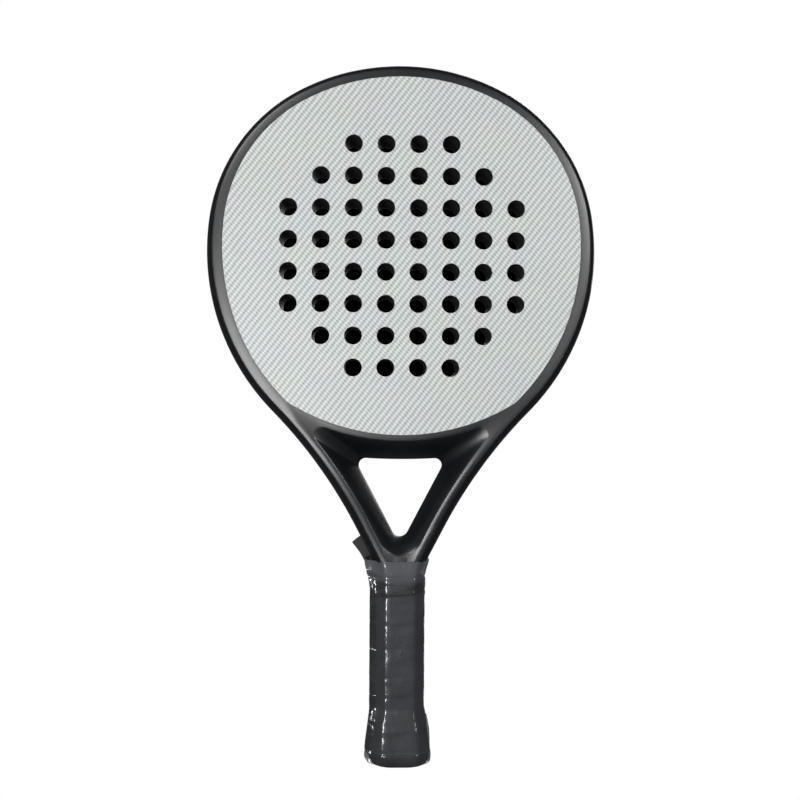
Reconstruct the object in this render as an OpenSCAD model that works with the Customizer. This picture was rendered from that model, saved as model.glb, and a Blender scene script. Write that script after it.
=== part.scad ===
// Padel racket: a moulded tubular frame round a perforated foam core with a laminate on each face,
// an open triangular throat, and an octagonal handle with its wrap, butt cap, wrist strap and film.
// Millimetres. The butt's foot stands at z = 0, +Z runs up the racket to the head, and the front
// face looks towards -Y. The thickness is centred on y = 0 and the racket is centred on x = 0.

/* [Head outline] */
// Overall length from the butt's foot to the top of the head
total_len = 455; // [452:0.5:456]
// Radius of the arc over the top of the head
top_r = 144; // [140:1:148]
// Angle that the top arc covers to each side of the middle
top_sweep = 27; // [25:0.5:29]
// Radius of the shoulders
shoulder_r = 112; // [108:1:116]
// Angle that each shoulder covers
shoulder_sweep = 55; // [53:0.5:57]
// Radius of the flanks below the widest point
flank_r = 149; // [145:1:153]
// Angle that each flank covers
flank_sweep = 52.5; // [51:0.5:54]
// Radius of the hollow curve from the flank into the arm
arm_r = 315; // [300:5:330]
// Angle that the hollow curve covers
arm_sweep = 17; // [16:0.5:18]

/* [Frame section] */
// Thickness of the head from face to face
depth = 38; // [36:0.5:38]
// Width of the frame tube beside the core, from the flanks down
tube_w = 12; // [11.5:0.5:12.5]
// Width of the frame tube at the top of the head
top_w = 10; // [9:0.5:11]
// Width of the crowned side, in from the frame's widest line
edge_w = 6; // [5:0.5:8]
// Wall of the moulded tube
wall = 2; // [1.5:0.1:2.5]
// Distance from the outer edge to the ridge along each arm
ridge_s = 12; // [11:0.5:13]
// Distance from the outer edge to the waist of each arm at mid-thickness
waist_s = 20; // [19:0.5:21]

/* [Throat] */
// Height of the centre of the arc under the face
sill_z = 353.5; // [352:0.5:354]
// Radius of the face's bottom edge
sill_r = 138.5; // [138:0.5:139]
// Radius of the face's two lower corners
corner_r = 15; // [10:1:18]
// Height of the centre of the bridge's underside
bridge_z = 358.5; // [357:0.5:360]
// Radius of the bridge's lower rim at each face
bridge_rim_r = 147.5; // [147:0.5:149]
// Radius of the bridge's lower edge at mid-thickness
bridge_waist_r = 160; // [159:0.5:161]

/* [Faces and holes] */
// Thickness of each face laminate
ply = 0.8; // [0.6:0.1:1.2]
// Diameter of the drilled holes
hole_d = 11.5; // [9:0.5:13]
// Spacing of the holes across the head
hole_across = 20.9; // [20:0.1:21]
// Spacing of the rows of holes
hole_up = 20.5; // [20:0.1:21]
// Height of the middle of the hole pattern
hole_mid_z = 330; // [328:0.5:332]
// Number of holes in each row, from the top row down
hole_rows = [4, 6, 8, 8, 8, 8, 6, 4];

/* [Handle] */
// Width of the wrapped handle
grip_w = 31; // [30:0.5:32]
// Thickness of the wrapped handle
grip_t = 28; // [27:0.5:29]
// Width of the handle's front facet
grip_facet = 18.8; // [18:0.2:20]
// Thickness of the cushioned wrap
wrap = 2; // [1.6:0.1:2.2]
// Height of the wrap's top edge
grip_top = 122; // [120:1:124]
// Width of the butt
butt_w = 39.8; // [38:0.2:41]
// Thickness of the butt
butt_t = 36; // [34:0.5:37]
// Height of the butt's lip, below the wrap
lip_h = 8; // [6:0.5:10]
// Height at which the flare of the butt begins
flare_top = 34; // [32:1:38]
// Thickness of the clear film
film = 0.25; // [0.2:0.05:0.4]
// Height of the film's top edge
film_top = 133; // [132:0.5:134]

/* [Wrist strap] */
// Width of the webbing
strap_w = 16; // [14:1:18]
// Thickness of the two plies together
strap_t = 2.7; // [2:0.1:3]

/* [Hidden] */
$fn = 96;

// Colours
satin_black = [0.09, 0.09, 0.10];
silver = [0.78, 0.79, 0.78];
foam_black = [0.15, 0.15, 0.15];

// The outline is a run of tangent arcs. Angles turn clockwise from the top of the racket, in a
// flat frame with x to the right, y up the racket and z out of the front face.
function dir(a) = [sin(a), cos(a)];
function angle_of(v) = atan2(v[0], v[1]);
top_end = top_sweep;
shoulder_end = top_end + shoulder_sweep;
flank_end = shoulder_end + flank_sweep;
arm_end = flank_end - arm_sweep;
top_c = [0, total_len - top_r];
shoulder_c = top_c + (top_r - shoulder_r) * dir(top_end);
flank_c = shoulder_c + (shoulder_r - flank_r) * dir(shoulder_end);
arm_c = flank_c + (flank_r + arm_r) * dir(flank_end);
arm_foot = arm_c - arm_r * dir(arm_end);
half = depth / 2;

// Below arm_foot the arms run straight, down into the handle
run_dir = [cos(arm_end), -sin(arm_end)];

// The frame thins from the throat to the handle
taper_z = 205;
root_half = 14.5;
heel_half = 14;

// Legs of the tube inside the handle, and the top of the pallet round them
pallet_top = 118;
leg_in = 1;
leg_out = 11;
leg_half = 8.5;
leg_foot = 22;

// Centre of the face's lower corner arcs, touching the arm's inner line and the face's bottom arc
function meet(p, rp, q, rq) =
    let (d = norm(q - p), u = (q - p) / d, x = (d * d + rp * rp - rq * rq) / (2 * d))
    p + x * u + sqrt(rp * rp - x * x) * [u[1], -u[0]];
sill_c = [0, sill_z];
corner_c = meet(sill_c, sill_r - corner_r, arm_c, arm_r + tube_w + corner_r);
corner_from = angle_of(arm_c - corner_c);
corner_to = angle_of(corner_c - sill_c);

// Handle facets: the corner cut is the same at the front and the sides
grip_cut = (grip_w - grip_facet) / 2;
butt_cut = 9.3;
pallet_w = grip_w - 2 * wrap;
pallet_t = grip_t - 2 * wrap;
pallet_cut = grip_cut - 0.6 * wrap;
eps = 0.01;

// Places the flat frame in the racket's frame
module upright() rotate([90, 0, 0]) children();

module both_sides() {
    children();
    mirror([1, 0, 0]) children();
}

// ---- The frame tube ----

// Stations along an arc as [point, outward angle], about every arc_step degrees, without the first
arc_step = 4.5;
function stations(c, r, from, to) =
    let (n = ceil(abs(to - from) / arc_step))
    [for (i = [1:n]) let (a = from + (to - from) * i / n) [c + r * dir(a), a]];

// Right side of the head's outer edge, from the top of the racket to where the face's corner begins
head_edge = concat([[top_c + top_r * dir(0), 0]],
    stations(top_c, top_r, 0, top_end),
    stations(shoulder_c, shoulder_r, top_end, shoulder_end),
    stations(flank_c, flank_r, shoulder_end, flank_end),
    stations(arm_c, -arm_r, flank_end, corner_from));

// The arm's outer edge, from there down to the throat's lower tip
arm_edge = concat(stations(arm_c, -arm_r, corner_from, arm_end),
    [[arm_foot + 9.5 * run_dir, arm_end - 0.5], [arm_foot + 14.5 * run_dir, arm_end - 2]]);

// A value that eases from low to high as x runs from x0 to x1
function ease(x, x0, x1, low, high) =
    let (k = min(1, max(0, (x - x0) / (x1 - x0)))) low + (high - low) * k * k * (3 - 2 * k);

// Half thickness at a height: full in the head, thinner into the handle
function half_at(z) = ease(z, film_top, taper_z, root_half, half);

// Width of the tube beside the core at a height
function band_at(z) = ease(z, 300, total_len, tube_w, top_w);

// Every station down the right side: [point, outward angle, half thickness, distance in to the
// ridge, distance in to the waist, width of the crowned side]. The last ones close the throat's
// lower tip, step in under the wrap's top edge and run down the handle.
waist_from = head_edge[len(head_edge) - 1][0][1];
tube_path = concat(
    [for (s = head_edge) let (w = band_at(s[0][1])) [s[0], s[1], half, w, w, edge_w]],
    [for (s = arm_edge)
        let (z = s[0][1], low = waist_from - 28)
        [s[0], s[1], half_at(z), ease(z, waist_from, low, tube_w, ridge_s),
         ease(z, waist_from, low, tube_w, waist_s), edge_w]],
    [[arm_foot + 18.7 * run_dir, arm_end - 3.5, 14.6, ridge_s, 40, edge_w],
     [arm_foot + 26.2 * run_dir, arm_end - 9.5, root_half, 40, 40, edge_w],
     [[13.1, grip_top + 0.8], 90, heel_half, 40, 40, 6],
     [[13.1, grip_top + 0.3], 90, 11.4, 40, 40, 4.5],
     [[leg_out, pallet_top + 0.3], 90, leg_half, leg_out - leg_in, leg_out - leg_in, 2.5],
     [[leg_out, leg_foot], 90, leg_half, leg_out - leg_in, leg_out - leg_in, 2.5]]);

// Points of a station's section, inset by w, in the flat frame. The outer side is a half ellipse,
// crowned from face to face. The inner side is flat beside the core and slopes to a waist in the
// arms, and it stops just short of the middle, where the two arms lie side by side.
crown_steps = 8;
seam = 0.05;
function section(s, w) =
    let (p = s[0], a = s[1], h = s[2], r = s[5], slope = (s[4] - s[3]) / h,
         shift = w * sqrt(1 + slope * slope), reach = a < 60 ? 1000 : (p[0] - seam - w) / sin(a))
    [for (q = concat([[s[4] - shift, 0], [s[4] - slope * (h - w) - shift, h - w]],
            [for (i = [0:crown_steps]) let (t = 180 * i / crown_steps)
                [r - (r - w) * sin(t), (h - w) * cos(t)]],
            [[s[4] - slope * (h - w) - shift, w - h]]))
        [each (p - min(q[0], reach) * dir(a)), q[1]]];

function mirrored(ring) = [for (q = ring) [-q[0], q[1], q[2]]];

// Sections from the left leg over the head to the right leg
function all_rings(w) = concat(
    [for (i = [len(tube_path) - 1:-1:1]) mirrored(section(tube_path[i], w))],
    [for (s = tube_path) section(s, w)]);

// Triangles between rings i and i + 1 of n points whose first point is number base, with the
// diagonals mirrored front to back
function skin(base, i, n, k) =
    let (a = base + n * i + k, b = base + n * i + (k + 1) % n, c = b + n, d = a + n)
    k < n / 2 ? [[a, b, c], [a, c, d]] : [[a, b, d], [b, c, d]];

function turned(face) = [for (i = [len(face) - 1:-1:0]) face[i]];

// The tube's wall, between its outside and the channel inside it, open at the ends of the legs
module tube_wall() {
    outside = all_rings(0);
    channel = all_rings(wall);
    m = len(outside);
    n = len(outside[0]);
    inner = m * n;
    polyhedron(
        concat([for (ring = outside) each ring], [for (ring = channel) each ring]),
        concat([for (i = [0:m - 2], k = [0:n - 1]) each skin(0, i, n, k)],
            [for (i = [0:m - 2], k = [0:n - 1], face = skin(inner, i, n, k)) turned(face)],
            [for (k = [0:n - 1]) let (j = (k + 1) % n) [j, k, inner + k, inner + j]],
            [for (k = [0:n - 1]) let (j = (k + 1) % n, e = n * (m - 1))
                [e + k, e + j, inner + e + j, inner + e + k]]));
}

// ---- The face's outline ----

// Points just on an arc, with the same spacing as the stations
function arc(c, r, from, to) = [for (s = stations(c, r, from, to)) s[0]];

// Everything inside the frame tube and above the bridge, grown by g
module face_region(g = 0) {
    right = concat([for (s = head_edge) s[0] + (g - band_at(s[0][1])) * dir(s[1])],
                   arc(corner_c, corner_r + g, corner_from, corner_to),
                   arc(sill_c, sill_r + g, corner_to, 180));
    last = len(right) - 1;
    polygon(concat(right, [for (i = [1:last - 1]) let (p = right[last - i]) [-p[0], p[1]]]));
}

// The drilled holes, right through the head
module drilled_holes()
    for (row = [0:len(hole_rows) - 1])
        for (col = [0:hole_rows[row] - 1])
            translate([(col - (hole_rows[row] - 1) / 2) * hole_across,
                       hole_mid_z + ((len(hole_rows) - 1) / 2 - row) * hole_up,
                       -half - 1])
                cylinder(d = hole_d, h = depth + 2, $fn = 48);

// A drilled slab of the face's outline between two heights off mid-thickness
module drilled_slab(from, to)
    upright() difference() {
        translate([0, 0, from]) linear_extrude(to - from) face_region();
        drilled_holes();
    }

// ---- The throat bridge ----

// The bridge is bounded above by the face's outline and below by a cone from each face down to its
// waist. w insets its open faces.
module bridge_lens(w = 0)
    difference() {
        for (side = [0, 1])
            mirror([0, 0, side]) translate([0, bridge_z, -eps])
                cylinder(h = half - w + eps, r1 = bridge_waist_r - w,
                         r2 = bridge_rim_r - w + (bridge_waist_r - bridge_rim_r) * w / half,
                         $fn = 240);
        translate([0, 0, -half - 1]) linear_extrude(depth + 2) face_region(w);
    }

// Keeps what lies between the arms
module within_arms()
    difference() {
        intersection() {
            children();
            translate([0, 0, -half]) linear_extrude(depth) between_arms();
        }
        both_sides() arm_side();
    }

// The stations beside the bridge, from the face's corner to below the waist, and the space between
// the middles of the arms' walls there. It starts where the corner has just left the arm.
bridge_stations = [for (i = [len(head_edge) - 1:len(tube_path) - 1])
    if (tube_path[i][0][1] > 170) tube_path[i]];
module between_arms() {
    top = arm_c - (arm_r + ridge_s - 3) * dir(corner_from - 0.7);
    right = concat([top], [for (i = [1:len(bridge_stations) - 1])
        let (s = bridge_stations[i]) s[0] - (ridge_s - 3) * dir(s[1])]);
    last = len(right) - 1;
    polygon(concat(right, [for (i = [0:last]) let (p = right[last - i]) [-p[0], p[1]]]));
}

// The side of an arm that faces the bridge, as a wedge that reaches out past its ridges
module arm_side() {
    rings = [for (s = bridge_stations)
        let (slope = (s[4] - s[3]) / s[2], q = s[3] - slope, h = s[2] + 1)
        [for (e = [[s[4], 0], [q, h], [s[3] - 6, h], [s[3] - 6, -h], [q, -h]])
            [each (s[0] - e[0] * dir(s[1])), e[1]]]];
    m = len(rings);
    polyhedron([for (ring = rings) each ring],
        concat([[4, 3, 2, 1, 0]], [for (i = [0:m - 2], k = [0:4]) each skin(0, i, 5, k)],
            [[for (k = [0:4]) 5 * (m - 1) + k]]));
}

// ---- Handle shapes, drawn with Z up ----

module octagon(w, t, cut)
    polygon([[w / 2 - cut, -t / 2], [w / 2, cut - t / 2], [w / 2, t / 2 - cut],
             [w / 2 - cut, t / 2], [cut - w / 2, t / 2], [-w / 2, t / 2 - cut],
             [-w / 2, cut - t / 2], [cut - w / 2, -t / 2]]);

// Octagonal taper between two heights; each end is [z, w, t, cut]
module octagon_taper(low, high)
    hull() for (e = [low, high])
        translate([0, 0, e[0]]) linear_extrude(eps) octagon(e[1], e[2], e[3]);

module octagon_bar(z0, z1, w, t, cut)
    translate([0, 0, z0]) linear_extrude(z1 - z0) octagon(w, t, cut);

// The cap's skirt under the wrap
skirt_top = 30;
skirt_w = butt_w - 2 * wrap;
skirt_t = butt_t - 2 * wrap;
cap_floor = 4;

// The strap lies on the handle's rear left facet. Its middle line is given as [distance out along
// that facet's normal, height, lean], from inside the butt cap to the free end behind the arm.
slot_w = strap_w + 1;
slot_t = strap_t + 0.6;

// Middle points, and the unit vectors across the webbing's width at each, chosen by hand
strap_mid = [[0, 0, 9], [0, 0, 6], [-0.4, 0.4, 2.8], [-2.5, 2.5, 1.6], [-8, 8, 1.6], [-13, 13, 1.6],
             [-15.2, 15.2, 2.4], [-16, 16, 5], [-16, 16, 9], [-14.6, 14.6, 20], [-13.2, 13.2, 32],
             [-13, 13, 45], [-13, 13, 70], [-13, 13, 100], [-13.2, 13.2, 116], [-14.2, 14.4, 125],
             [-16, 16, 132], [-19.4, 17.2, 138.5], [-25.5, 17.6, 146.4]];
strap_across = [for (i = [0:len(strap_mid) - 1])
    let (bend = max(0, i - 14) / 4,
         v = (1 - bend) * [0.707, 0.707, 0] + bend * [0.80, 0.06, 0.60]) v / norm(v)];

module webbing() {
    n = len(strap_mid);
    along = [for (i = [0:n - 1])
        let (d = strap_mid[min(n - 1, i + 1)] - strap_mid[max(0, i - 1)]) d / norm(d)];
    rings = [for (i = [0:n - 1])
        let (a = strap_across[i], f = cross(along[i], a) / norm(cross(along[i], a)),
             c = strap_mid[i], w = a * strap_w / 2, t = f * strap_t / 2)
        each [c - w - t, c + w - t, c + w + t, c - w + t]];
    polyhedron(rings, concat([[3, 2, 1, 0]],
        [for (i = [0:n - 2], k = [0:3])
            [4 * i + k, 4 * i + (k + 1) % 4, 4 * i + 4 + (k + 1) % 4, 4 * i + 4 + k]],
        [[4 * n - 4, 4 * n - 3, 4 * n - 2, 4 * n - 1]]));
}

// Staples through the cap's skirt into the pallet, one on each side
staple_z = 25;
staple_h = 8;
wire = 1.2;
module staple(grow = 0) {
    crown_x = skirt_w / 2 - 2.9 + 1;
    translate([crown_x - wire, -wire / 2 - grow, staple_z - staple_h / 2 - grow])
        cube([wire + grow, wire + 2 * grow, staple_h + 2 * grow]);
    for (z = [staple_z - staple_h / 2, staple_z + staple_h / 2 - wire])
        translate([crown_x - wire - 4, -wire / 2 - grow, z - grow])
            cube([4 + wire + grow, wire + 2 * grow, wire + 2 * grow]);
}

// ---- Nodes ----

module frame_tube() color(satin_black) upright() tube_wall();

module throat_bridge() color(satin_black) upright() difference() {
    within_arms() bridge_lens();
    bridge_lens(wall);
}

module bridge_foam() color(foam_black) upright() within_arms() bridge_lens(wall);

module core() color(foam_black) drilled_slab(ply - half, half - ply);

module front_face() color(silver) drilled_slab(half - ply, half);

module rear_face() color(silver) drilled_slab(-half, ply - half);

module legs_bore()
    for (side = [-1, 1])
        translate([side * (leg_in + leg_out) / 2 - (leg_out - leg_in) / 2, -leg_half, leg_foot - 1])
            cube([leg_out - leg_in, 2 * leg_half, pallet_top + 2 - leg_foot]);

module handle_pallet() color([0.30, 0.28, 0.24]) difference() {
    octagon_bar(leg_foot, pallet_top, pallet_w, pallet_t, pallet_cut);
    legs_bore();
    both_sides() staple();
}

module cap_skirt()
    octagon_taper([lip_h - 1, skirt_w, skirt_t, butt_cut - 1],
                  [skirt_top, pallet_w + 2.4, pallet_t + 2.4, pallet_cut + 0.6]);

module butt_cap() color([0.12, 0.12, 0.12]) difference() {
    union() {
        cap_skirt();
        octagon_taper([2.5, butt_w, butt_t, butt_cut], [lip_h, butt_w, butt_t, butt_cut]);
        octagon_taper([0, butt_w - 4, butt_t - 4, butt_cut - 1], [2.5, butt_w, butt_t, butt_cut]);
    }
    octagon_bar(leg_foot, skirt_top + 1, pallet_w, pallet_t, pallet_cut);
    translate([-10, -8, cap_floor]) cube([20, 16, leg_foot - cap_floor + 1]);
    rotate(45) translate([-slot_w / 2, -slot_t / 2, -1]) cube([slot_w, slot_t, cap_floor + 2]);
    rotate(45) translate([-slot_w / 2, 0, -1]) cube([slot_w, 40, 4.1]);
    rotate(45) translate([-slot_w / 2, 20.7, -1]) cube([slot_w, 10, 12]);
    both_sides() staple();
}

module butt_staples() color("silver") both_sides() staple();

module base_grip() color([0.22, 0.22, 0.23]) difference() {
    union() {
        octagon_bar(flare_top, grip_top, grip_w, grip_t, grip_cut);
        octagon_taper([lip_h + 0.1, butt_w - 0.4, butt_t - 0.4, butt_cut],
                      [flare_top + eps, grip_w, grip_t, grip_cut]);
    }
    octagon_bar(skirt_top - eps, grip_top + 1, pallet_w, pallet_t, pallet_cut);
    cap_skirt();
}

module finishing_tape() color([0.10, 0.10, 0.10]) difference() {
    octagon_bar(grip_top - 11, grip_top, grip_w + 0.6, grip_t + 0.6, grip_cut + 0.1);
    octagon_bar(grip_top - 12, grip_top + 1, grip_w, grip_t, grip_cut);
}

module wrist_strap() color([0.13, 0.13, 0.14]) webbing();

module strap_stop() color([0.13, 0.13, 0.14])
    rotate(45) translate([-8.5, -4.5, 9.1]) cube([17, 9, 9]);

// Sections of the film, each [z, w, t, cut, strap middle's distance out]
film_rings = [[0.6, butt_w - 2, butt_t - 2, butt_cut, 22.6],
              [lip_h, butt_w, butt_t, butt_cut, 22.6],
              [flare_top, grip_w, grip_t, grip_cut, 18.8],
              [grip_top - 12, grip_w + 0.6, grip_t + 0.6, grip_cut, 18.6],
              [film_top, 37, 29.4, 4.6, 23.2]];

module film_ring(ring, g)
    translate([0, 0, ring[0]]) linear_extrude(eps) hull() {
        octagon(ring[1] + 2 * g, ring[2] + 2 * g, ring[3]);
        rotate(45) translate([-strap_w / 2 - g, ring[4] - 3])
            square([strap_w + 2 * g, 3 + strap_t / 2 + g]);
    }

module film_body(g, stretch)
    for (i = [0:len(film_rings) - 2])
        hull() {
            film_ring(film_rings[i] - [i == 0 ? stretch : 0, 0, 0, 0, 0], g);
            film_ring(film_rings[i + 1] + [i == len(film_rings) - 2 ? stretch : 0, 0, 0, 0, 0], g);
        }

module shrink_film() color([0.8, 0.8, 0.8, 0.3]) difference() {
    film_body(0.15 + film, 0);
    film_body(0.15, 1);
}

frame_tube();
throat_bridge();
bridge_foam();
core();
front_face();
rear_face();
handle_pallet();
butt_cap();
butt_staples();
base_grip();
finishing_tape();
wrist_strap();
strap_stop();
shrink_film();
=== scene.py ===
"""Padel racket: a satin black moulded frame round a perforated head with woven glass faces, an open
throat, and a wrapped handle that still has its shrink film and the wrist strap held under it.

Metres, in the racket's own frame: the butt's foot stands at z = 0, +Z runs up to the head and the
front face looks towards -Y."""

import math

import bmesh
import bpy
from mathutils import Matrix, Vector, noise


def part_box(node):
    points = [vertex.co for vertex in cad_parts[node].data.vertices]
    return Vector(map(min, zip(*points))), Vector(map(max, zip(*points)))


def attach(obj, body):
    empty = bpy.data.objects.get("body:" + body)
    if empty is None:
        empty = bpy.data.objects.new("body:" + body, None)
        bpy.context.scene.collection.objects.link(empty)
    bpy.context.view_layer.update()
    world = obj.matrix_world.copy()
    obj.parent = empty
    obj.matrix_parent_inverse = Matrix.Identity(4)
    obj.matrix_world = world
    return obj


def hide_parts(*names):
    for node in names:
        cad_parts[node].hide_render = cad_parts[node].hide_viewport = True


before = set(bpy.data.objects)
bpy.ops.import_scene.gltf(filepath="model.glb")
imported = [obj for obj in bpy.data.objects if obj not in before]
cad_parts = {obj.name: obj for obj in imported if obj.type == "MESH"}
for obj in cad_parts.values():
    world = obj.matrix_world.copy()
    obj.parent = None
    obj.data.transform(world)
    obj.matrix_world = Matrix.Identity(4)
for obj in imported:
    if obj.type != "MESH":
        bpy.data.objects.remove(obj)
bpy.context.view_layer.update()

MM = 0.001

# The racket's driving sizes, the same as the design's, with the ends of the outline's arcs in degrees
TOP_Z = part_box("frame_tube")[1][2]
FACE_HALF = -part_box("front_face")[0][1]
TUCK = 0.02 * MM
HALF = FACE_HALF - TUCK
TOP_R, SHOULDER_R, FLANK_R, ARM_R = 144 * MM, 112 * MM, 149 * MM, 315 * MM
TOP_END, SHOULDER_END, FLANK_END, ARM_END = 27, 82, 134.5, 117.5
BAND = 12 * MM
CROWN = 6 * MM
ARM_LAND = 8 * MM
RUN_LENGTH = 37 * MM
SILL_Z, SILL_R, CORNER_R = 353.5 * MM, 138.5 * MM, 15 * MM
BRIDGE_Z = 358.5 * MM
TAPER_Z = 205 * MM
FILM_TOP = 133 * MM
ROOT_HALF = 14.5 * MM
GRIP_TOP = 122 * MM
STRAP_WIDTH = 16 * MM
STRAP_THICKNESS = 2.7 * MM


# ---- Camera: in front of the racket, a little to its left and below the middle of its height ----

CAMERA_PLACE = Vector((-0.02225, -0.7319, 0.2414))
CAMERA_FORWARD = Vector((0.0299, 1.0, -0.0054))
CAMERA_UP = Vector((-0.0055, 0.0054, 1.0))


def add_camera():
    camera_data = bpy.data.cameras.new("camera")
    camera_data.lens = 50
    camera_data.sensor_width = 36
    camera = bpy.data.objects.new("camera", camera_data)
    bpy.context.collection.objects.link(camera)
    forward = CAMERA_FORWARD.normalized()
    right = forward.cross(CAMERA_UP).normalized()
    up = right.cross(forward)
    turn = Matrix((right, up, -forward)).transposed().to_4x4()
    camera.matrix_world = Matrix.Translation(CAMERA_PLACE) @ turn
    bpy.context.scene.camera = camera


add_camera()


# ---- Small helpers ----

# Points closer than this are welded where halves meet
WELD = 0.01 * MM


def direction(degrees):
    """Unit vector in the plane of the head, clockwise from the top."""
    angle = math.radians(degrees)
    return Vector((math.sin(angle), 0, math.cos(angle)))


def ease(x, start, end, low, high):
    """A value that goes smoothly from low at start to high at end."""
    k = min(1.0, max(0.0, (x - start) / (end - start)))
    return low + (high - low) * k * k * (3 - 2 * k)


def half_thickness(z):
    """The frame thins down to the handle."""
    return ease(z, FILM_TOP, TAPER_Z, ROOT_HALF, HALF)


def spin(bm, geom, centre, degrees, steps):
    """Turns an edge loop or a point about a centre in the plane of the head."""
    made = bmesh.ops.spin(bm, geom=geom, cent=centre, axis=(0, 1, 0), dvec=(0, 0, 0),
                          angle=math.radians(degrees), steps=steps, use_duplicate=False)
    return made["geom_last"]


def only_edges(geom):
    return [g for g in geom if isinstance(g, bmesh.types.BMEdge)]


def only_verts(geom):
    return [g for g in geom if isinstance(g, bmesh.types.BMVert)]


def extrude_ring(bm, ring):
    """Extrudes a chain or loop, and returns the new points and then their edges."""
    made = bmesh.ops.extrude_edge_only(bm, edges=only_edges(ring))["geom"]
    verts = only_verts(made)
    inside = set(verts)
    return verts + [e for e in only_edges(made) if all(v in inside for v in e.verts)]


def mirror_across(bm, axis):
    """Mirrors the whole of a bmesh across the origin and welds the seam."""
    bmesh.ops.mirror(bm, geom=bm.verts[:] + bm.edges[:] + bm.faces[:], merge_dist=WELD, axis=axis)
    bmesh.ops.remove_doubles(bm, verts=bm.verts, dist=WELD)


def ring_of(bm, points):
    """A closed loop of edges through points."""
    verts = [bm.verts.new(p) for p in points]
    pairs = zip(verts, verts[1:] + verts[:1])
    return verts + [bm.edges.new(pair) for pair in pairs]


def make_piece(name, bm, material, nodes):
    """Turns a bmesh into a piece that rides on the racket and stands for CAD nodes."""
    for face in bm.faces:
        face.smooth = True
    mesh = bpy.data.meshes.new(name)
    bm.to_mesh(mesh)
    bm.free()
    mesh.materials.append(material)
    piece = bpy.data.objects.new(name, mesh)
    bpy.context.collection.objects.link(piece)
    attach(piece, "root")
    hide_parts(*nodes)
    return piece


def sharpen(bm, degrees):
    """Marks edges that turn by more than an angle as sharp."""
    limit = math.radians(degrees)
    for edge in bm.edges:
        if len(edge.link_faces) == 2 and edge.calc_face_angle(0) > limit:
            edge.smooth = False


def paint(node_name, material):
    """Gives a CAD node its finish."""
    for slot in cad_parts[node_name].material_slots:
        slot.material = material


# ---- Materials ----

def start_material(name):
    """A new material with an empty node tree."""
    material = bpy.data.materials.new(name)
    material.use_nodes = True
    tree = material.node_tree
    tree.nodes.clear()
    return material, tree


def wave_scale(pitch):
    """Scale at which a wave texture's bands are a pitch apart."""
    return 0.1 * math.pi / pitch


def lacquer(name, tone, roughness):
    """Satin lacquer over moulded laminate: faint orange peel and a cloudy sheen."""
    material, tree = start_material(name)

    output = tree.nodes.new("ShaderNodeOutputMaterial")
    output.label = "Lacquered laminate"
    output.location = (600, 0)
    surface = tree.nodes.new("ShaderNodeBsdfPrincipled")
    surface.label = "Satin lacquer"
    surface.location = (300, 0)
    place = tree.nodes.new("ShaderNodeTexCoord")
    place.label = "Place on the racket"
    place.location = (-900, 0)
    cloud = tree.nodes.new("ShaderNodeTexNoise")
    cloud.label = "Cloudy sheen"
    cloud.location = (-600, 200)
    sheen = tree.nodes.new("ShaderNodeMapRange")
    sheen.label = "Roughness of the lacquer"
    sheen.location = (-300, 200)
    shade = tree.nodes.new("ShaderNodeMix")
    shade.label = "Black of the lacquer"
    shade.location = (-300, 420)
    peel = tree.nodes.new("ShaderNodeTexNoise")
    peel.label = "Orange peel"
    peel.location = (-600, -200)
    relief = tree.nodes.new("ShaderNodeBump")
    relief.label = "Relief of the orange peel"
    relief.location = (-300, -200)

    sheen_frame = tree.nodes.new("NodeFrame")
    sheen_frame.label = "Sheen"
    for node in (cloud, sheen, shade):
        node.parent = sheen_frame
    peel_frame = tree.nodes.new("NodeFrame")
    peel_frame.label = "Orange peel"
    for node in (peel, relief):
        node.parent = peel_frame

    surface.inputs["Specular IOR Level"].default_value = 0.5
    surface.inputs["Coat Weight"].default_value = 0.15
    surface.inputs["Coat Roughness"].default_value = 0.3
    cloud.inputs["Scale"].default_value = 90
    cloud.inputs["Detail"].default_value = 3
    sheen.inputs["To Min"].default_value = roughness - 0.03
    sheen.inputs["To Max"].default_value = roughness + 0.03
    shade.data_type = "RGBA"
    shade.inputs["A"].default_value = (*[c * 0.85 for c in tone], 1)
    shade.inputs["B"].default_value = (*[c * 1.15 for c in tone], 1)
    peel.inputs["Scale"].default_value = 700
    peel.inputs["Detail"].default_value = 2
    relief.inputs["Strength"].default_value = 0.06
    relief.inputs["Distance"].default_value = 0.2 * MM

    tree.links.new(place.outputs["Object"], cloud.inputs["Vector"])
    tree.links.new(cloud.outputs["Fac"], sheen.inputs["Value"])
    tree.links.new(cloud.outputs["Fac"], shade.inputs["Factor"])
    tree.links.new(shade.outputs["Result"], surface.inputs["Base Color"])
    tree.links.new(sheen.outputs["Result"], surface.inputs["Roughness"])
    tree.links.new(place.outputs["Object"], peel.inputs["Vector"])
    tree.links.new(peel.outputs["Fac"], relief.inputs["Height"])
    tree.links.new(relief.outputs["Normal"], surface.inputs["Normal"])
    tree.links.new(surface.outputs["BSDF"], output.inputs["Surface"])
    return material


WALE_PITCH, WALE_LEAN = 3.38 * MM, -37
TOW_PITCH, TOW_LEAN = 1.92 * MM, 48


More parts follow.
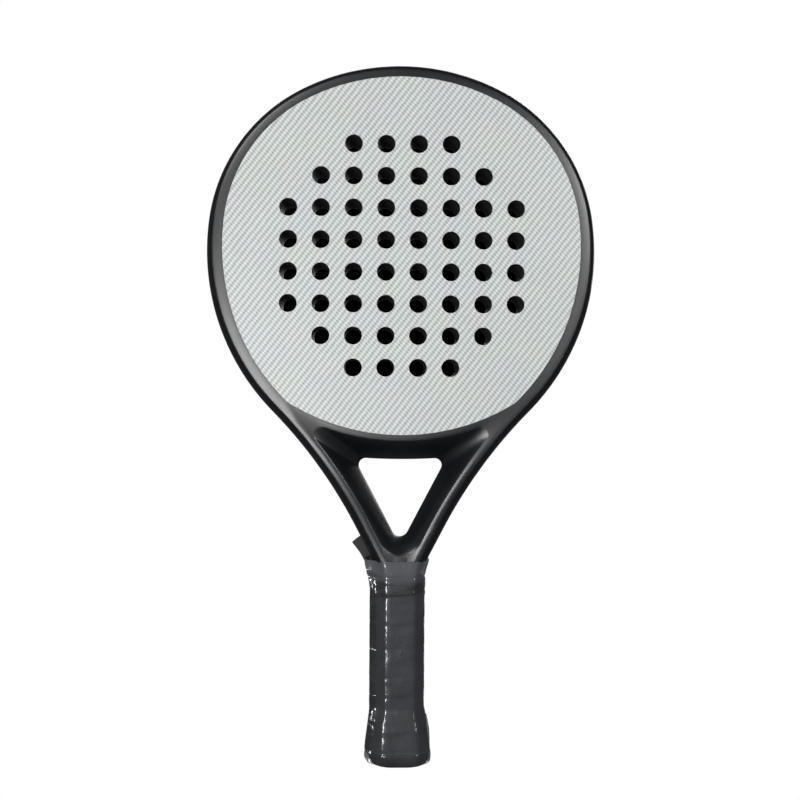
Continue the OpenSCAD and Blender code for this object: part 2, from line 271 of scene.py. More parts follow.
def woven_glass():
    """Silver-grey woven glass under clear resin: diagonal wales crossed by finer tows."""
    material, tree = start_material("woven_glass")

    output = tree.nodes.new("ShaderNodeOutputMaterial")
    output.label = "Face of the head"
    output.location = (1200, 0)
    surface = tree.nodes.new("ShaderNodeBsdfPrincipled")
    surface.label = "Glass cloth in resin"
    surface.location = (900, 0)
    place = tree.nodes.new("ShaderNodeTexCoord")
    place.label = "Place on the racket"
    place.location = (-1200, 0)
    wale_turn = tree.nodes.new("ShaderNodeMapping")
    wale_turn.label = "Across the wales"
    wale_turn.location = (-900, 300)
    wales = tree.nodes.new("ShaderNodeTexWave")
    wales.label = "Wales of the twill"
    wales.location = (-600, 300)
    tow_turn = tree.nodes.new("ShaderNodeMapping")
    tow_turn.label = "Across the tows"
    tow_turn.location = (-900, -50)
    tows = tree.nodes.new("ShaderNodeTexWave")
    tows.label = "Tows that cross the wales"
    tows.location = (-600, -50)
    cloth = tree.nodes.new("ShaderNodeMix")
    cloth.label = "Height of the cloth"
    cloth.location = (-300, 150)
    tint = tree.nodes.new("ShaderNodeValToRGB")
    tint.label = "Silver of the cloth"
    tint.location = (0, 300)
    blotch = tree.nodes.new("ShaderNodeTexNoise")
    blotch.label = "Uneven resin"
    blotch.location = (-300, 550)
    haze = tree.nodes.new("ShaderNodeMix")
    haze.label = "Haze of the resin"
    haze.location = (350, 350)
    relief = tree.nodes.new("ShaderNodeBump")
    relief.label = "Relief of the weave"
    relief.location = (350, -150)

    weave_frame = tree.nodes.new("NodeFrame")
    weave_frame.label = "Weave"
    for node in (wale_turn, wales, tow_turn, tows, cloth, relief):
        node.parent = weave_frame
    colour_frame = tree.nodes.new("NodeFrame")
    colour_frame.label = "Colour"
    for node in (tint, blotch, haze):
        node.parent = colour_frame

    surface.inputs["Roughness"].default_value = 0.42
    surface.inputs["Specular IOR Level"].default_value = 0.45
    wale_turn.inputs["Rotation"].default_value = (0, math.radians(WALE_LEAN), 0)
    wales.inputs["Scale"].default_value = wave_scale(WALE_PITCH)
    wales.inputs["Distortion"].default_value = 0.9
    wales.inputs["Detail"].default_value = 2
    wales.inputs["Detail Scale"].default_value = 3
    tow_turn.inputs["Rotation"].default_value = (0, math.radians(TOW_LEAN), 0)
    tows.inputs["Scale"].default_value = wave_scale(TOW_PITCH)
    tows.inputs["Distortion"].default_value = 0.6
    tows.inputs["Detail"].default_value = 2
    tows.inputs["Detail Scale"].default_value = 4
    cloth.data_type = "FLOAT"
    cloth.inputs["Factor"].default_value = 0.4
    tint.color_ramp.elements[0].position = 0.1
    tint.color_ramp.elements[0].color = (0.27, 0.29, 0.285, 1)
    tint.color_ramp.elements[1].position = 0.9
    tint.color_ramp.elements[1].color = (0.56, 0.59, 0.58, 1)
    blotch.inputs["Scale"].default_value = 45
    blotch.inputs["Detail"].default_value = 4
    haze.data_type = "RGBA"
    haze.blend_type = "MULTIPLY"
    haze.inputs["Factor"].default_value = 0.12
    relief.inputs["Strength"].default_value = 0.25
    relief.inputs["Distance"].default_value = 0.2 * MM

    tree.links.new(place.outputs["Object"], wale_turn.inputs["Vector"])
    tree.links.new(wale_turn.outputs["Vector"], wales.inputs["Vector"])
    tree.links.new(place.outputs["Object"], tow_turn.inputs["Vector"])
    tree.links.new(tow_turn.outputs["Vector"], tows.inputs["Vector"])
    tree.links.new(wales.outputs["Fac"], cloth.inputs["A"])
    tree.links.new(tows.outputs["Fac"], cloth.inputs["B"])
    tree.links.new(cloth.outputs["Result"], tint.inputs["Fac"])
    tree.links.new(place.outputs["Object"], blotch.inputs["Vector"])
    tree.links.new(tint.outputs["Color"], haze.inputs["A"])
    tree.links.new(blotch.outputs["Color"], haze.inputs["B"])
    tree.links.new(haze.outputs["Result"], surface.inputs["Base Color"])
    tree.links.new(cloth.outputs["Result"], relief.inputs["Height"])
    tree.links.new(relief.outputs["Normal"], surface.inputs["Normal"])
    tree.links.new(surface.outputs["BSDF"], output.inputs["Surface"])
    return material


def grained(name, dark, light, scale, roughness, depth):
    """A rough moulded or foamed surface: a fine grain in its colour and its relief."""
    material, tree = start_material(name)

    output = tree.nodes.new("ShaderNodeOutputMaterial")
    output.label = "Grained piece"
    output.location = (600, 0)
    surface = tree.nodes.new("ShaderNodeBsdfPrincipled")
    surface.label = "Grained surface"
    surface.location = (300, 0)
    place = tree.nodes.new("ShaderNodeTexCoord")
    place.label = "Place on the racket"
    place.location = (-900, 0)
    grain = tree.nodes.new("ShaderNodeTexNoise")
    grain.label = "Grain"
    grain.location = (-600, 0)
    tone = tree.nodes.new("ShaderNodeValToRGB")
    tone.label = "Tone of the grain"
    tone.location = (-300, 150)
    relief = tree.nodes.new("ShaderNodeBump")
    relief.label = "Relief of the grain"
    relief.location = (-300, -200)

    grain_frame = tree.nodes.new("NodeFrame")
    grain_frame.label = "Grain"
    for node in (grain, tone, relief):
        node.parent = grain_frame

    surface.inputs["Roughness"].default_value = roughness
    grain.inputs["Scale"].default_value = scale
    grain.inputs["Detail"].default_value = 4
    tone.color_ramp.elements[0].color = (*dark, 1)
    tone.color_ramp.elements[1].color = (*light, 1)
    relief.inputs["Strength"].default_value = 0.4
    relief.inputs["Distance"].default_value = depth

    tree.links.new(place.outputs["Object"], grain.inputs["Vector"])
    tree.links.new(grain.outputs["Fac"], tone.inputs["Fac"])
    tree.links.new(grain.outputs["Fac"], relief.inputs["Height"])
    tree.links.new(tone.outputs["Color"], surface.inputs["Base Color"])
    tree.links.new(relief.outputs["Normal"], surface.inputs["Normal"])
    tree.links.new(surface.outputs["BSDF"], output.inputs["Surface"])
    return material


RIB_PITCH, YARN_PITCH = 1.1 * MM, 0.8 * MM


def webbing_cloth():
    """Black woven webbing: fine ribs across its width."""
    material, tree = start_material("webbing_cloth")

    output = tree.nodes.new("ShaderNodeOutputMaterial")
    output.label = "Wrist strap"
    output.location = (600, 0)
    surface = tree.nodes.new("ShaderNodeBsdfPrincipled")
    surface.label = "Woven webbing"
    surface.location = (300, 0)
    place = tree.nodes.new("ShaderNodeTexCoord")
    place.label = "Width and length of the webbing"
    place.location = (-1200, 0)
    ribs = tree.nodes.new("ShaderNodeTexWave")
    ribs.label = "Ribs across the width"
    ribs.location = (-900, 150)
    yarns = tree.nodes.new("ShaderNodeTexWave")
    yarns.label = "Yarns along the length"
    yarns.location = (-900, -150)
    weave = tree.nodes.new("ShaderNodeMath")
    weave.label = "Weave"
    weave.location = (-600, 0)
    tone = tree.nodes.new("ShaderNodeValToRGB")
    tone.label = "Black of the yarns"
    tone.location = (-300, 150)
    relief = tree.nodes.new("ShaderNodeBump")
    relief.label = "Relief of the yarns"
    relief.location = (-300, -200)

    weave_frame = tree.nodes.new("NodeFrame")
    weave_frame.label = "Weave"
    for node in (ribs, yarns, weave, tone, relief):
        node.parent = weave_frame

    surface.inputs["Roughness"].default_value = 0.8
    surface.inputs["Sheen Weight"].default_value = 0.3
    ribs.bands_direction = "Y"
    ribs.inputs["Scale"].default_value = wave_scale(RIB_PITCH)
    ribs.inputs["Distortion"].default_value = 0.4
    yarns.inputs["Scale"].default_value = wave_scale(YARN_PITCH)
    weave.operation = "MULTIPLY"
    tone.color_ramp.elements[0].color = (0.012, 0.012, 0.012, 1)
    tone.color_ramp.elements[1].color = (0.06, 0.058, 0.055, 1)
    relief.inputs["Strength"].default_value = 0.7
    relief.inputs["Distance"].default_value = 0.3 * MM

    tree.links.new(place.outputs["UV"], ribs.inputs["Vector"])
    tree.links.new(place.outputs["UV"], yarns.inputs["Vector"])
    tree.links.new(ribs.outputs["Fac"], weave.inputs[0])
    tree.links.new(yarns.outputs["Fac"], weave.inputs[1])
    tree.links.new(weave.outputs["Value"], tone.inputs["Fac"])
    tree.links.new(weave.outputs["Value"], relief.inputs["Height"])
    tree.links.new(tone.outputs["Color"], surface.inputs["Base Color"])
    tree.links.new(relief.outputs["Normal"], surface.inputs["Normal"])
    tree.links.new(surface.outputs["BSDF"], output.inputs["Surface"])
    return material


def smoky_film():
    """Shrink film: see-through with a grey haze, and a glossy skin that shows its wrinkles."""
    material, tree = start_material("clear_film")

    output = tree.nodes.new("ShaderNodeOutputMaterial")
    output.label = "Film on the handle"
    output.location = (1200, 0)
    gloss = tree.nodes.new("ShaderNodeBsdfGlossy")
    gloss.label = "Glossy skin"
    gloss.location = (300, 250)
    haze = tree.nodes.new("ShaderNodeBsdfDiffuse")
    haze.label = "Haze of the film"
    haze.location = (300, 0)
    clear = tree.nodes.new("ShaderNodeBsdfTransparent")
    clear.label = "See-through body"
    clear.location = (300, -250)
    body = tree.nodes.new("ShaderNodeMixShader")
    body.label = "Body of the film"
    body.location = (600, -100)
    film = tree.nodes.new("ShaderNodeMixShader")
    film.label = "Film"
    film.location = (900, 0)
    place = tree.nodes.new("ShaderNodeTexCoord")
    place.label = "Place on the racket"
    place.location = (-900, 0)
    pucker = tree.nodes.new("ShaderNodeTexNoise")
    pucker.label = "Fine puckers"
    pucker.location = (-600, 200)
    relief = tree.nodes.new("ShaderNodeBump")
    relief.label = "Relief of the puckers"
    relief.location = (-100, 300)
    graze = tree.nodes.new("ShaderNodeLayerWeight")
    graze.label = "Grazing angle"
    graze.location = (100, 550)
    share = tree.nodes.new("ShaderNodeMapRange")
    share.label = "Share of the skin"
    share.location = (300, 550)
    cloud = tree.nodes.new("ShaderNodeTexNoise")
    cloud.label = "Uneven haze"
    cloud.location = (-600, -200)
    amount = tree.nodes.new("ShaderNodeMapRange")
    amount.label = "Amount of the haze"
    amount.location = (-100, -200)
    height = tree.nodes.new("ShaderNodeSeparateXYZ")
    height.label = "Height on the handle"
    height.location = (-600, -450)
    gather = tree.nodes.new("ShaderNodeMapRange")
    gather.label = "Gathered above the wrap"
    gather.location = (-350, -450)
    total = tree.nodes.new("ShaderNodeMath")
    total.label = "All of the haze"
    total.location = (100, -350)

    skin_frame = tree.nodes.new("NodeFrame")
    skin_frame.label = "Glossy skin with puckers"
    for node in (gloss, pucker, relief, graze, share):
        node.parent = skin_frame
    haze_frame = tree.nodes.new("NodeFrame")
    haze_frame.label = "Haze"
    for node in (haze, clear, body, cloud, amount, height, gather, total):
        node.parent = haze_frame

    gloss.inputs["Color"].default_value = (0.9, 0.92, 0.95, 1)
    gloss.inputs["Roughness"].default_value = 0.16
    haze.inputs["Color"].default_value = (0.11, 0.112, 0.125, 1)
    clear.inputs["Color"].default_value = (0.5, 0.5, 0.5, 1)
    pucker.inputs["Scale"].default_value = 130
    pucker.inputs["Detail"].default_value = 3
    relief.inputs["Strength"].default_value = 0.5
    relief.inputs["Distance"].default_value = 0.6 * MM
    graze.inputs["Blend"].default_value = 0.25
    share.inputs["To Min"].default_value = 0.05
    share.inputs["To Max"].default_value = 0.7
    cloud.inputs["Scale"].default_value = 55
    amount.inputs["From Min"].default_value = 0.3
    amount.inputs["From Max"].default_value = 0.7
    amount.inputs["To Min"].default_value = 0.08
    amount.inputs["To Max"].default_value = 0.24
    gather.inputs["From Min"].default_value = GRIP_TOP - 4 * MM
    gather.inputs["From Max"].default_value = GRIP_TOP + 2 * MM
    gather.inputs["To Max"].default_value = 0.45
    total.operation = "ADD"

    tree.links.new(place.outputs["Object"], pucker.inputs["Vector"])
    tree.links.new(pucker.outputs["Fac"], relief.inputs["Height"])
    tree.links.new(relief.outputs["Normal"], gloss.inputs["Normal"])
    tree.links.new(relief.outputs["Normal"], graze.inputs["Normal"])
    tree.links.new(graze.outputs["Facing"], share.inputs["Value"])
    tree.links.new(place.outputs["Object"], cloud.inputs["Vector"])
    tree.links.new(cloud.outputs["Fac"], amount.inputs["Value"])
    tree.links.new(place.outputs["Object"], height.inputs["Vector"])
    tree.links.new(height.outputs["Z"], gather.inputs["Value"])
    tree.links.new(amount.outputs["Result"], total.inputs[0])
    tree.links.new(gather.outputs["Result"], total.inputs[1])
    tree.links.new(total.outputs["Value"], body.inputs["Fac"])
    tree.links.new(clear.outputs["BSDF"], body.inputs[1])
    tree.links.new(haze.outputs["BSDF"], body.inputs[2])
    tree.links.new(share.outputs["Result"], film.inputs["Fac"])
    tree.links.new(body.outputs["Shader"], film.inputs[1])
    tree.links.new(gloss.outputs["BSDF"], film.inputs[2])
    tree.links.new(film.outputs["Shader"], output.inputs["Surface"])
    return material


def drawn_wire():
    """Plain drawn steel wire with an uneven shine."""
    material, tree = start_material("staple_wire")

    output = tree.nodes.new("ShaderNodeOutputMaterial")
    output.label = "Staples in the butt"
    output.location = (600, 0)
    surface = tree.nodes.new("ShaderNodeBsdfPrincipled")
    surface.label = "Steel wire"
    surface.location = (300, 0)
    place = tree.nodes.new("ShaderNodeTexCoord")
    place.label = "Place on the racket"
    place.location = (-600, 0)
    shine = tree.nodes.new("ShaderNodeTexNoise")
    shine.label = "Uneven shine"
    shine.location = (-300, 0)

    shine_frame = tree.nodes.new("NodeFrame")
    shine_frame.label = "Shine"
    shine.parent = shine_frame

    surface.inputs["Metallic"].default_value = 1
    surface.inputs["Base Color"].default_value = (0.6, 0.6, 0.6, 1)
    shine.inputs["Scale"].default_value = 900

    tree.links.new(place.outputs["Object"], shine.inputs["Vector"])
    tree.links.new(shine.outputs["Fac"], surface.inputs["Roughness"])
    tree.links.new(surface.outputs["BSDF"], output.inputs["Surface"])
    return material


black_lacquer = lacquer("black_lacquer", (0.004, 0.0045, 0.006), 0.34)
glass_cloth = woven_glass()
core_foam = grained("core_foam", (0.004, 0.004, 0.004), (0.012, 0.012, 0.012), 900, 0.75, 0.2 * MM)
pallet_foam = grained("pallet_foam", (0.03, 0.03, 0.03), (0.06, 0.06, 0.06), 600, 0.8, 0.2 * MM)
butt_rubber = grained("butt_rubber", (0.012, 0.012, 0.013), (0.022, 0.022, 0.024), 1200, 0.55, 0.1 * MM)
grip_skin = grained("grip_skin", (0.06, 0.062, 0.072), (0.09, 0.093, 0.105), 500, 0.5, 0.3 * MM)
black_tape = grained("black_tape", (0.012, 0.012, 0.013), (0.02, 0.02, 0.021), 300, 0.35, 0.1 * MM)
strap_cloth = webbing_cloth()
film_skin = smoky_film()
staple_wire = drawn_wire()


# ---- The frame: one section spun down the right side of the outline, then mirrored ----

TOP_C = Vector((0, 0, TOP_Z - TOP_R))
SHOULDER_C = TOP_C + (TOP_R - SHOULDER_R) * direction(TOP_END)
FLANK_C = SHOULDER_C + (SHOULDER_R - FLANK_R) * direction(SHOULDER_END)
ARM_C = FLANK_C + (FLANK_R + ARM_R) * direction(FLANK_END)
ARM_FOOT = ARM_C - ARM_R * direction(ARM_END)
RUN_DIR = Vector((math.cos(math.radians(ARM_END)), 0, -math.sin(math.radians(ARM_END))))


def meeting(p, rp, q, rq):
    """The lower of the two points at distance rp from p and rq from q."""
    apart = (q - p).length
    towards = (q - p) / apart
    along = (apart * apart + rp * rp - rq * rq) / (2 * apart)
    return p + along * towards + math.sqrt(rp * rp - along * along) * Vector((towards.z, 0, -towards.x))


SILL_C = Vector((0, 0, SILL_Z))
CORNER_C = meeting(SILL_C, SILL_R - CORNER_R, ARM_C, ARM_R + BAND + CORNER_R)


def angle_of(v):
    """A vector's direction in the plane of the head, clockwise from the top."""
    return math.degrees(math.atan2(v.x, v.z))


CORNER_FROM = angle_of(ARM_C - CORNER_C)
CORNER_TO = angle_of(CORNER_C - SILL_C)
CROWN_STEPS, TOP_STEPS, SHOULDER_STEPS, FLANK_STEPS, ARM_STEPS, RUN_STEPS = 18, 18, 32, 34, 24, 24
LEAN_STEPS = 4
LEG_FROM, LEG_TO, LEG_LAND = 24 * MM, 34 * MM, 22 * MM


def tube_section(bm, inner):
    """The section at the top of the head: a half ellipse outside and a flat wall inside, whose
    points are marked on the inner layer."""
    points = [(BAND, HALF * (1 - i)) for i in range(3)]
    for i in range(CROWN_STEPS + 1):
        turn = math.pi * i / CROWN_STEPS
        points.append((CROWN * (1 - math.sin(turn)), -HALF * math.cos(turn)))
    geom = ring_of(bm, [(0, y, TOP_Z - s) for s, y in points])
    for vert in only_verts(geom)[:3]:
        vert[inner] = 1
    return geom


def lean_inner(geom, inner, inward, distance):
    """Moves a section's inner wall."""
    for vert in only_verts(geom):
        vert.co += inward * distance * vert[inner]


def build_frame():
    """Spins the section down the right side, thins its inner wall to the arm's land, carries it down
    the straight run, cuts it on the middle plane and at the wrap, and mirrors it."""
    bm = bmesh.new()
    inner = bm.verts.layers.float.new("inner")
    last = tube_section(bm, inner)
    last = spin(bm, last, TOP_C, TOP_END, TOP_STEPS)
    last = spin(bm, last, SHOULDER_C, SHOULDER_END - TOP_END, SHOULDER_STEPS)
    last = spin(bm, last, FLANK_C, FLANK_END - SHOULDER_END, FLANK_STEPS)
    last = spin(bm, last, ARM_C, CORNER_FROM - FLANK_END, 1)
    for i in range(ARM_STEPS):
        last = spin(bm, last, ARM_C, (ARM_END - CORNER_FROM) / ARM_STEPS, 1)
        angle = CORNER_FROM + (ARM_END - CORNER_FROM) * (i + 1) / ARM_STEPS
        if i < LEAN_STEPS:
            lean_inner(last, inner, direction(angle), (BAND - ARM_LAND) / LEAN_STEPS)
    reach = ARM_LAND
    for i in range(RUN_STEPS):
        last = extrude_ring(bm, last)
        bmesh.ops.translate(bm, verts=only_verts(last), vec=RUN_DIR * RUN_LENGTH / RUN_STEPS)
        wanted = ease(RUN_LENGTH * (i + 1) / RUN_STEPS, LEG_FROM, LEG_TO, ARM_LAND, LEG_LAND)
        lean_inner(last, inner, -direction(ARM_END), wanted - reach)
        reach = wanted
    for vert in bm.verts:
        vert.co.y *= half_thickness(vert.co.z) / HALF
    middle = ((0, 0, 0), (1, 0, 0))
    above_wrap = ((0, 0, GRIP_TOP + 0.2 * MM), (0, 0, 1))
    for place, normal in (middle, above_wrap):
        geom = bm.verts[:] + bm.edges[:] + bm.faces[:]
        bmesh.ops.bisect_plane(bm, geom=geom, dist=1e-6, plane_co=place, plane_no=normal, clear_inner=True)
    mirror_across(bm, "X")
    foot = [e for e in bm.edges if e.is_boundary and e.verts[0].co.z < GRIP_TOP + 1 * MM]
    bmesh.ops.contextual_create(bm, geom=foot)
    bmesh.ops.recalc_face_normals(bm, faces=bm.faces)
    sharpen(bm, 50)
    return bm


make_piece("moulded_frame", build_frame(), black_lacquer, nodes=("frame_tube",))


# ---- The throat's lining: the bridge under the face and the inner faces of the arms ----

# Insets are from the arm's outer edge, the face corner's gap is in degrees, and a side with the straight
# radius, in metres, looks straight
RIM_INSET, RIM_LOWER_R, RIM_CORNER_R, RIM_TOP_R = 9.8 * MM, 14.5 * MM, 5 * MM, 147 * MM
WAIST_INSET, WAIST_LOWER_R, WAIST_CORNER_R = 20 * MM, 5.5 * MM, 4.5 * MM
WAIST_TOP_Z, WAIST_TOP_R = 198.5 * MM, 400 * MM
STRAIGHT_R = 10
EDGE_INSET, EDGE_LOWER_R = ARM_LAND - 0.6 * MM, 7 * MM
ROUND_STEPS, SIDE_STEPS, CORNER_STEPS, SILL_STEPS, FOOT_STEPS = 10, 18, 14, 16, 6
FACE_CORNER_GAP, FACE_CORNER_STEPS = 2.6, 6
WALL_STEPS, WALL_ROUNDNESS = 16, 1.3


def side_meets_middle(inset):
    """Height at which a line at a distance in from the arm's outer edge crosses x = 0."""
    slope = math.tan(math.radians(ARM_END - 90))
    return ARM_FOOT.z - (ARM_FOOT.x - inset / math.cos(math.radians(ARM_END - 90))) / slope


def lower_round(bm, inset, radius):
    """The right half of the round at the bottom of a loop, and the point where it ends."""
    centre = Vector((0, 0, side_meets_middle(inset) + radius / math.sin(math.radians(ARM_END - 90))))
    start = bm.verts.new(centre + radius * direction(180))
    return spin(bm, [start], centre, ARM_END - 180, ROUND_STEPS)


def upper_corner(bm, last, side_c, side_r, side_from, side_steps, corner_r, top_c, top_r):
    """Carries a chain up the side, round the upper corner and along the top to the middle."""
    corner = meeting(top_c, top_r + corner_r, side_c, side_r + corner_r)
    side_to = angle_of(side_c - corner)
    last = spin(bm, last, side_c, side_to - side_from, side_steps)
    last = spin(bm, last, corner, angle_of(top_c - corner) - side_to, CORNER_STEPS)
    spin(bm, last, top_c, 180 - angle_of(corner - top_c), SILL_STEPS)


def rim_loop(bm):
    """The right half of the bright rim, which keeps its distance from the arm's edge."""
    before = set(bm.verts)
    last = lower_round(bm, RIM_INSET, RIM_LOWER_R)
    foot = only_verts(last)[0].co
    side_r = ARM_R + RIM_INSET
    run = ARM_C - side_r * direction(ARM_END) - foot
    for _ in range(FOOT_STEPS):
        last = bmesh.ops.extrude_vert_indiv(bm, verts=only_verts(last))["verts"]
        bmesh.ops.translate(bm, verts=last, vec=run / FOOT_STEPS)
    bridge_c = Vector((0, 0, BRIDGE_Z))
    upper_corner(bm, last, ARM_C, side_r, ARM_END, SIDE_STEPS, RIM_CORNER_R, bridge_c, RIM_TOP_R)
    return [v for v in bm.verts if v not in before]


def waist_loop(bm):
    """The right half of the throat's narrowest loop: a triangle with straight sides."""
    before = set(bm.verts)
    last = lower_round(bm, WAIST_INSET, WAIST_LOWER_R)
    far = only_verts(last)[0].co + STRAIGHT_R * direction(ARM_END)
    top_c = Vector((0, 0, WAIST_TOP_Z + WAIST_TOP_R))
    steps = FOOT_STEPS + SIDE_STEPS
    upper_corner(bm, last, far, STRAIGHT_R, ARM_END, steps, WAIST_CORNER_R, top_c, WAIST_TOP_R)
    return [v for v in bm.verts if v not in before]


def face_side_loop(bm):
    """The right half of the lining's outer edge, under the frame's land and along the face."""
    before = set(bm.verts)
    last = lower_round(bm, EDGE_INSET, EDGE_LOWER_R)
    run = ARM_C - (ARM_R + EDGE_INSET) * direction(ARM_END) - only_verts(last)[0].co
    last = bmesh.ops.extrude_vert_indiv(bm, verts=only_verts(last))["verts"]
    bmesh.ops.translate(bm, verts=last, vec=run)
    last = spin(bm, last, ARM_C, CORNER_FROM - FACE_CORNER_GAP - ARM_END, SIDE_STEPS)
    last = bmesh.ops.extrude_vert_indiv(bm, verts=only_verts(last))["verts"]
    last[0].co = CORNER_C + CORNER_R * direction(CORNER_FROM)
    last = spin(bm, last, CORNER_C, CORNER_TO - CORNER_FROM, FACE_CORNER_STEPS)
    spin(bm, last, SILL_C, 180 - CORNER_TO, SILL_STEPS)
    return [v for v in bm.verts if v not in before]


def chain_edges(verts):
    """The edges between a chain's points, each once."""
    found = set(verts)
    edges = [e for v in verts for e in v.link_edges if all(w in found for w in e.verts)]
    return list(dict.fromkeys(edges))


def extrude_chain(bm, chain):
    """Extrudes an ordered chain of points, and returns the new points in the same order."""
    order = {vert: k for k, vert in enumerate(chain)}
    made = bmesh.ops.extrude_edge_only(bm, edges=chain_edges(chain))["geom"]
    fresh = [None] * len(chain)
    for vert in only_verts(made):
        parent = next(e.other_vert(vert) for e in vert.link_edges if e.other_vert(vert) in order)
        fresh[order[parent]] = vert
    return fresh


def build_throat():
    """A quarter of the lining, from its edge under the frame over the rim to the waist, mirrored."""
    bm = bmesh.new()
    outer = face_side_loop(bm)
    rim = rim_loop(bm)
    waist = waist_loop(bm)
    goals = [v.co.copy() for v in waist]
    bmesh.ops.delete(bm, geom=waist, context="VERTS")
    bmesh.ops.bridge_loops(bm, edges=chain_edges(outer) + chain_edges(rim))
    starts = [v.co.copy() for v in rim]
    for vert in outer + rim:
        vert.co.y = TUCK - half_thickness(vert.co.z)
    last = rim
    for i in range(WALL_STEPS):
        turn = math.radians(90 * (i + 1) / WALL_STEPS)
        across = math.sin(turn) ** (2 / WALL_ROUNDNESS)
        depth = math.cos(turn) ** (2 / WALL_ROUNDNESS)
        last = extrude_chain(bm, last)
        for vert, start, goal in zip(last, starts, goals):
            vert.co = start.lerp(goal, across)
            vert.co.y = depth * (TUCK - half_thickness(vert.co.z))
    for vert in extrude_chain(bm, outer):
        vert.co.y = 0
    mirror_across(bm, "X")
    mirror_across(bm, "Y")
    bmesh.ops.recalc_face_normals(bm, faces=bm.faces)
    sharpen(bm, 60)
    return bm


make_piece("throat_lining", build_throat(), black_lacquer, nodes=("throat_bridge",))


# ---- The handle ----

def octagon(width, thickness, cut, z):
    """The corners of an oblong with its corners cut off."""
    x, y = width / 2, thickness / 2
    return [(x - cut, -y, z), (x, cut - y, z), (x, y - cut, z), (x - cut, y, z),
            (cut - x, y, z), (-x, y - cut, z), (-x, cut - y, z), (cut - x, -y, z)]


LONG_SIDE = 3 * MM


def rounded_ring(bm, width, thickness, cut, z, rounding):
    """The edge loop of an octagon with rounded corners and evenly split sides."""
    face = bm.faces.new([bm.verts.new(p) for p in octagon(width, thickness, cut, z)])
    bmesh.ops.bevel(bm, geom=face.verts[:], offset=rounding, offset_type="OFFSET", segments=4,
                    profile=0.5, affect="VERTICES", material=-1)
    bmesh.ops.subdivide_edges(bm, edges=[e for e in bm.edges if e.calc_length() > LONG_SIDE], cuts=5)
    bmesh.ops.delete(bm, geom=bm.faces[:], context="FACES_ONLY")
    return bm.verts[:] + bm.edges[:]


def loft(bm, geom, profile, step):
    """Extrudes a ring up through (z, scale of width, scale of thickness) stations."""
    last = geom
    scale_now = profile[0][1:]
    for low, high in zip(profile, profile[1:]):
        count = max(1, round((high[0] - low[0]) / step))
        for i in range(count):
            k = (i + 1) / count
            scale_new = [low[1] + (high[1] - low[1]) * k, low[2] + (high[2] - low[2]) * k]
            last = extrude_ring(bm, last)
            grow = (scale_new[0] / scale_now[0], scale_new[1] / scale_now[1], 1)
            bmesh.ops.scale(bm, verts=only_verts(last), vec=grow)
            bmesh.ops.translate(bm, verts=only_verts(last), vec=(0, 0, (high[0] - low[0]) / count))
            scale_now = scale_new


WRAP_PITCH, WRAP_STEP, WRAP_SINK, WRAP_WALL = 23 * MM, 0.55 * MM, 0.5 * MM, 1.8 * MM
WRAP_SEAM = 0.07


def helix_step(vert, pitch, height):
    """How far the overlap of a spiral wrap lifts a point: a soft step at each seam."""
    turn = math.atan2(vert.co.x, -vert.co.y) / (2 * math.pi)
    phase = (vert.co.z / pitch - turn) % 1.0
    return height * (phase if phase < 1 - WRAP_SEAM else (1 - phase) / WRAP_SEAM)


def build_grip():
    """The cushion wrap, flared over the butt, with its spiral seams."""
    bm = bmesh.new()
    ring = rounded_ring(bm, 39.2 * MM, 35.4 * MM, 8 * MM, 8.1 * MM, 1.8 * MM)
    w, t = 31 / 39.2, 28 / 35.4
    profile = [(8.1 * MM, 1, 1), (24 * MM, 0.93, 0.93), (30 * MM, 0.86, 0.86), (36 * MM, w, t),
               (GRIP_TOP - 1 * MM, w, t), (GRIP_TOP, w * 0.97, t * 0.97)]
    loft(bm, ring, profile, 1.2 * MM)
    bm.normal_update()
    for vert in bm.verts:
        out = Vector((vert.normal.x, vert.normal.y, 0))
        vert.co -= out * (WRAP_SINK - helix_step(vert, WRAP_PITCH, WRAP_STEP))
    bmesh.ops.recalc_face_normals(bm, faces=bm.faces)
    return bm


grip_piece = make_piece("cushion_wrap", build_grip(), grip_skin, nodes=("base_grip",))
wrap_thickness = grip_piece.modifiers.new("thickness", "SOLIDIFY")
wrap_thickness.thickness = WRAP_WALL
wrap_thickness.offset = -1


def build_cap():
    """The butt cap: a crowned foot, a lip, and a skirt that goes up under the wrap."""
    bm = bmesh.new()
    ring = rounded_ring(bm, 36 * MM, 32 * MM, 8.6 * MM, 0, 4 * MM)
    bmesh.ops.contextual_create(bm, geom=only_edges(ring))
    profile = [(0, 1, 1), (1.2 * MM, 1.05, 1.055), (2.6 * MM, 1.085, 1.1), (4.5 * MM, 1.1, 1.12),
               (7 * MM, 1.1, 1.12), (8 * MM, 1.08, 1.1), (8.05 * MM, 0.98, 0.98), (28 * MM, 0.8, 0.8)]
    loft(bm, ring, profile, 0.8 * MM)
    bmesh.ops.recalc_face_normals(bm, faces=bm.faces)
    sharpen(bm, 45)
    return bm


make_piece("butt_cap_shell", build_cap(), butt_rubber, nodes=("butt_cap",))


def strap_swell(vert, out, spread):
    """Lifts a point of the film over the strap on the rear left facet."""
    normal = (vert.co.y - vert.co.x) / math.sqrt(2)
    across = (vert.co.y + vert.co.x) / math.sqrt(2)
    wanted = out - max(0.0, abs(across) - STRAP_WIDTH / 2) * spread
    lift = max(0.0, wanted - normal) if normal > 0 else 0.0
    return Vector((-lift, lift, 0)) / math.sqrt(2)


